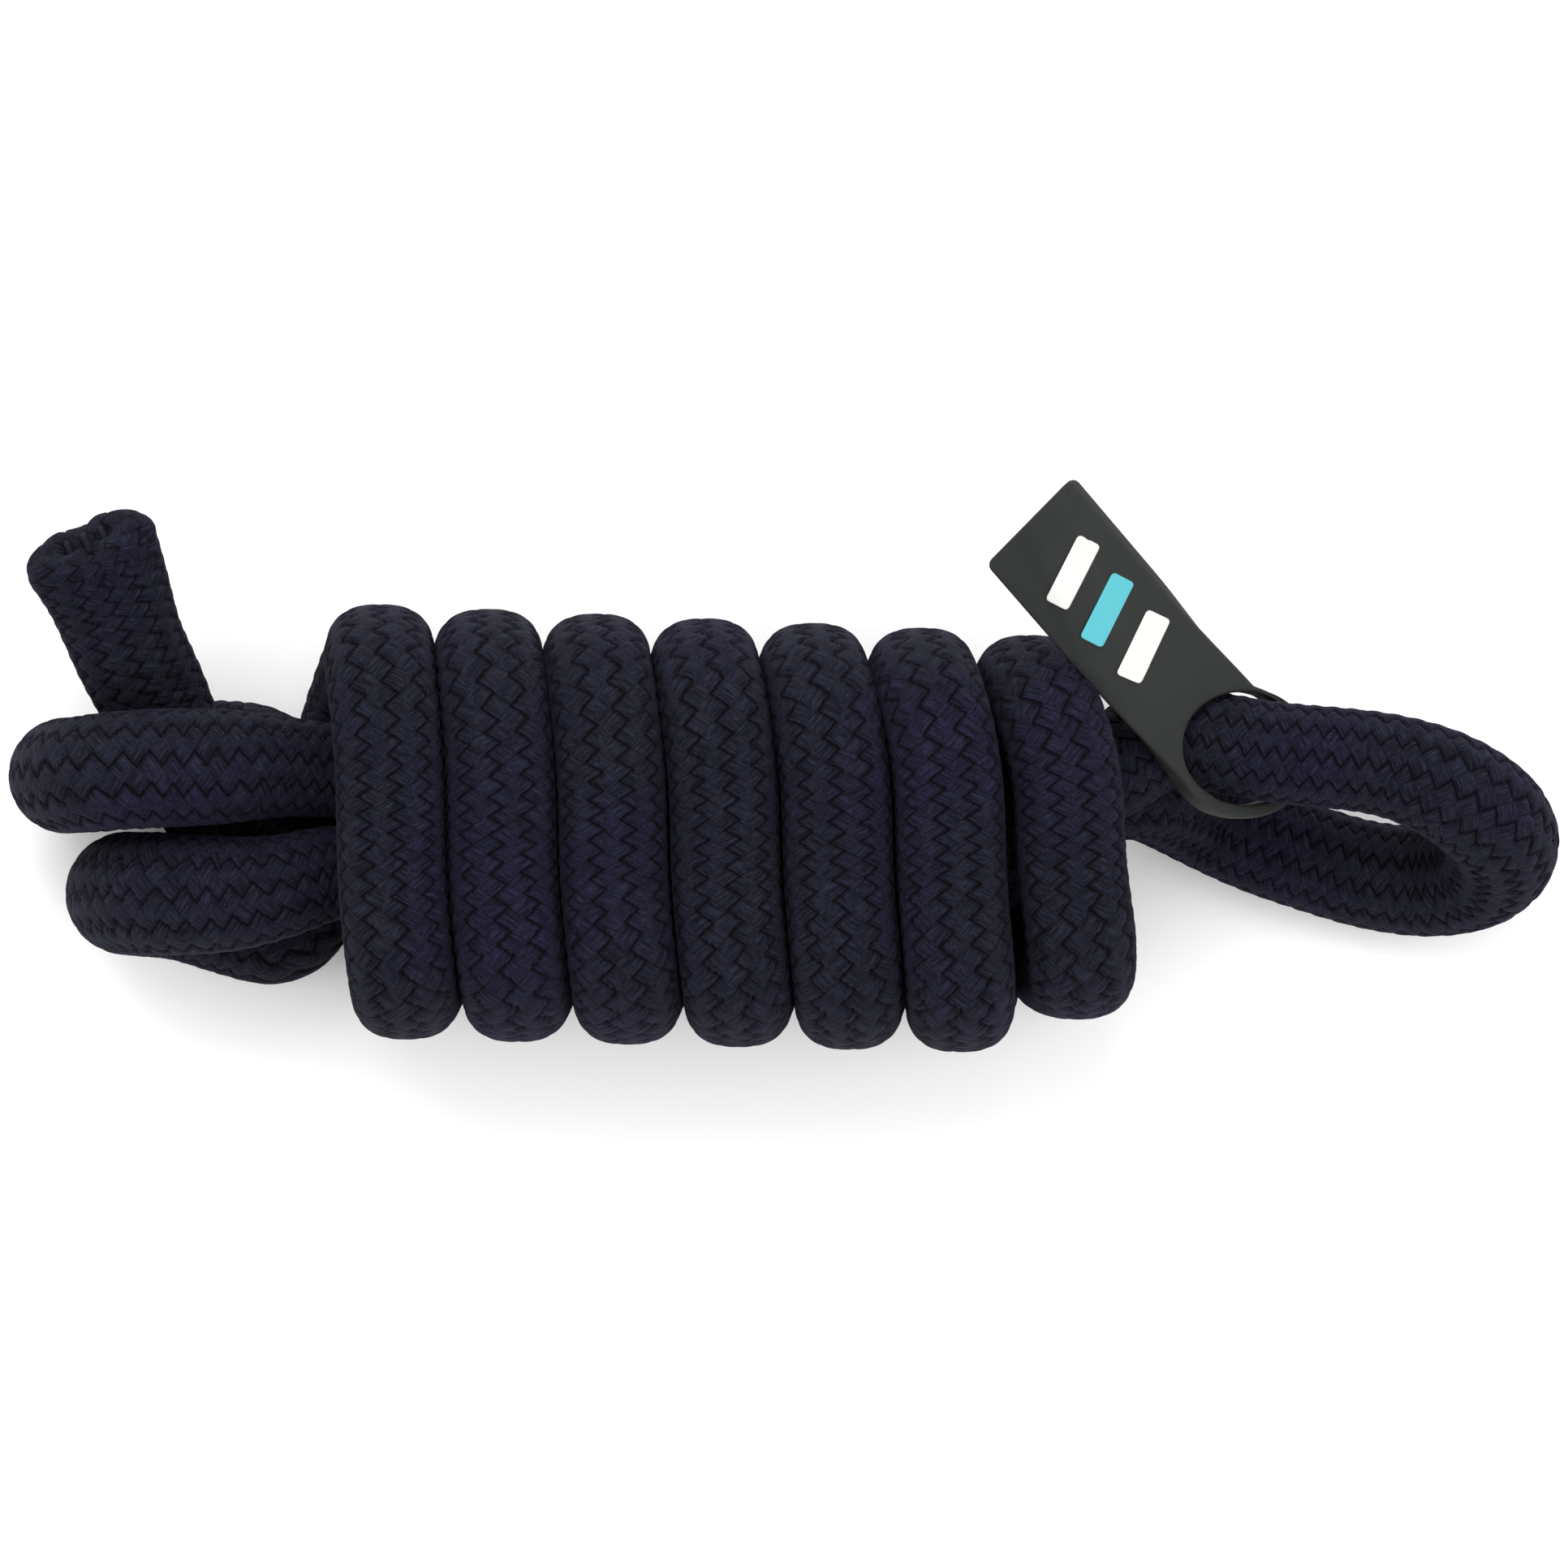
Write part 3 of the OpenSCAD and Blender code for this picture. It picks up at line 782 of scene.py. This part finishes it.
def bar(name, mid, material):
    """A raised slanted bar of the tag's pattern."""
    c, s = math.cos(BAR_SLANT), math.sin(BAR_SLANT)
    w, h = BAR_HALF_W, BAR_HALF_L
    corners = [
        on_tag(mid + x * c - y * s, x * s + y * c) for x, y in ((-w, -h), (w, -h), (w, h), (-w, h))
    ]
    loop = evened(round_corners(corners, [0.5] * 4), 0.3)
    obj = sheet_solid(name, [loop], TAG_T / 2 - BAR_SUNK, TAG_T / 2 + BAR_PROUD, 0.2, 0.5)
    obj.data.materials.append(material)
    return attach(obj, "tag")


white = bar("white_bar_1", 19.5, WHITE)
bar("white_bar_2", 33.5, WHITE)
blue = bar("turquoise_bar", 26.5, TURQUOISE)
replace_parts(white, "tag_white_inlays")
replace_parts(blue, "tag_turquoise_inlay")


# --- Stitches that close the two ends -----------------------------------------------------------
STITCH_R = 0.4
STITCH_GAP = 2.6
STITCH_REACH = 2.2
STITCH_RISE = 0.9
STITCH_SUNK = 1.1
STITCH_RINGS, STITCH_SIDES = 13, 10


def stitches(name, mid, out, wide_dir, node):
    """Short bars of thread pulled across the slit."""
    thin_dir = np.cross(out, wide_dir)
    verts, faces = [], []
    for k in (-1, 0, 1):
        base_mid = mid + out * (LIP - STITCH_SUNK) + wide_dir * STITCH_GAP * k
        start = len(verts)
        for t in np.linspace(-1, 1, STITCH_RINGS):
            p = base_mid + thin_dir * t * STITCH_REACH + out * (1 - t * t) * STITCH_RISE
            for a in np.linspace(0, 2 * math.pi, STITCH_SIDES + 1)[:-1]:
                verts.append(p + STITCH_R * (math.cos(a) * wide_dir + math.sin(a) * out))
        for r in range(STITCH_RINGS - 1):
            low, high = start + r * STITCH_SIDES, start + (r + 1) * STITCH_SIDES
            for c in range(STITCH_SIDES):
                d = (c + 1) % STITCH_SIDES
                faces.append((low + c, low + d, high + d, high + c))
        last = start + (STITCH_RINGS - 1) * STITCH_SIDES
        faces.append(tuple(start + c for c in range(STITCH_SIDES - 1, -1, -1)))
        faces.append(tuple(last + c for c in range(STITCH_SIDES)))
    obj = mesh_from(name, np.array(verts) * MM, faces)
    obj.data.materials.append(THREAD)
    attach(obj, "rope")
    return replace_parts(obj, node)


stitches("free_stitches", centre[0], -along[0], wide[0], "free_end_stitches")
stitches("tail_stitches", centre[-1], along[-1], wide[-1], "tail_end_stitches")

# --- Floor and light ----------------------------------------------------------------------------
FLOOR = 3
floor_corners = [(-FLOOR, -FLOOR, 0), (FLOOR, -FLOOR, 0), (FLOOR, FLOOR, 0), (-FLOOR, FLOOR, 0)]
floor = mesh_from("floor", floor_corners, [(0, 1, 2, 3)], False)
pale = Net("floor_white", (0.97, 0.97, 0.97), 0.9)
floor.data.materials.append(pale.mat)

WORLD_STRENGTH = 1.15
LIT_AT = (0, 0, 0.03)
world = bpy.data.worlds.new("studio")
world.use_nodes = True
back = next(n for n in world.node_tree.nodes if n.type == "BACKGROUND")
back.inputs[0].default_value = (1.0, 1.0, 1.0, 1)
back.inputs[1].default_value = WORLD_STRENGTH
bpy.context.scene.world = world
bpy.context.scene.view_settings.view_transform = "Standard"


def softbox(name, at, wide_m, power_w):
    """A square light that faces the hank."""
    data = bpy.data.lights.new(name, "AREA")
    data.shape = "SQUARE"
    data.size = wide_m
    data.energy = power_w
    obj = bpy.data.objects.new(name, data)
    obj.location = at
    obj.rotation_euler = (Vector(LIT_AT) - Vector(at)).to_track_quat("-Z", "Y").to_euler()
    bpy.context.scene.collection.objects.link(obj)


softbox("key", (-0.25, 0.7, 1.1), 0.9, 11)
softbox("fill", (0.7, -0.3, 1.0), 1.0, 4.5)
